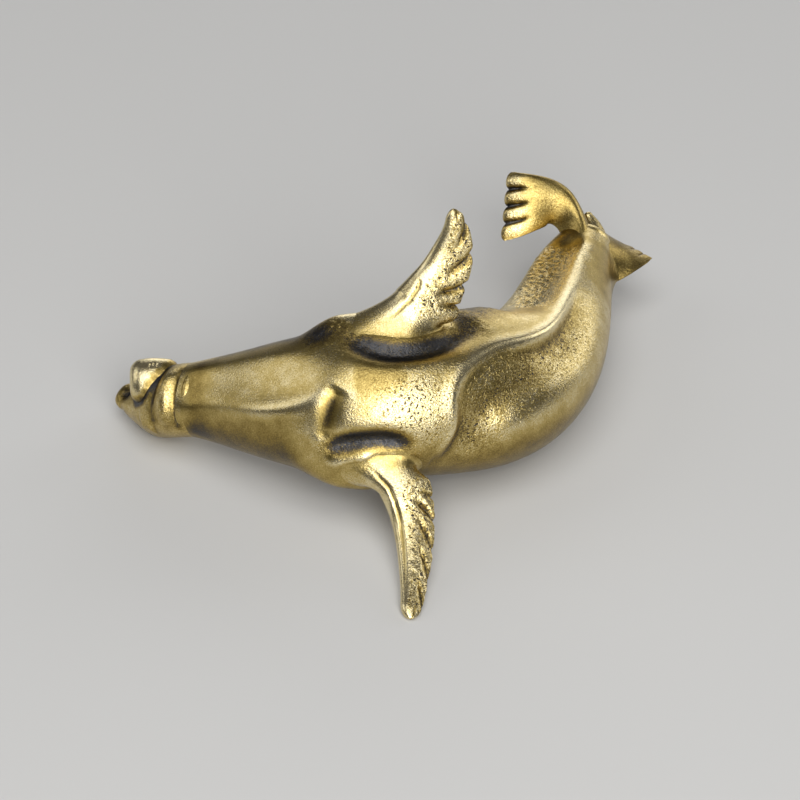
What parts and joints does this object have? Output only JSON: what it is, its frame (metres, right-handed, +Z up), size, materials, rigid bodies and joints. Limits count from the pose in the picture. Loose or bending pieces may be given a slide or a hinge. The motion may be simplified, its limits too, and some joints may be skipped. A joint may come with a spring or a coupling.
{
  "type": "sea lion figurine",
  "caption": "Cast brass sea lion lying on its back with flippers spread and hind body curled aside: a small ornament resting on hip, crown and a fore flipper.",
  "frame": {"origin": "in the flat under the hip, where the body rests on the table", "axes": "+Z up from the table, +X from the head towards the hind body, +Y from the resting fore flipper across to the raised one"},
  "size_m": [0.06, 0.0606, 0.029],
  "materials": {
    "brass": "hand polished, dark patina in the recesses"
  },
  "bodies": {
    "root": {"body": "brass", "head": "brass", "lower_jaw": "brass", "left_fore_flipper": "brass", "right_fore_flipper": "brass", "left_hind_flipper": "brass", "right_hind_flipper": "brass", "tail": "brass"}
  },
  "joints": []
}
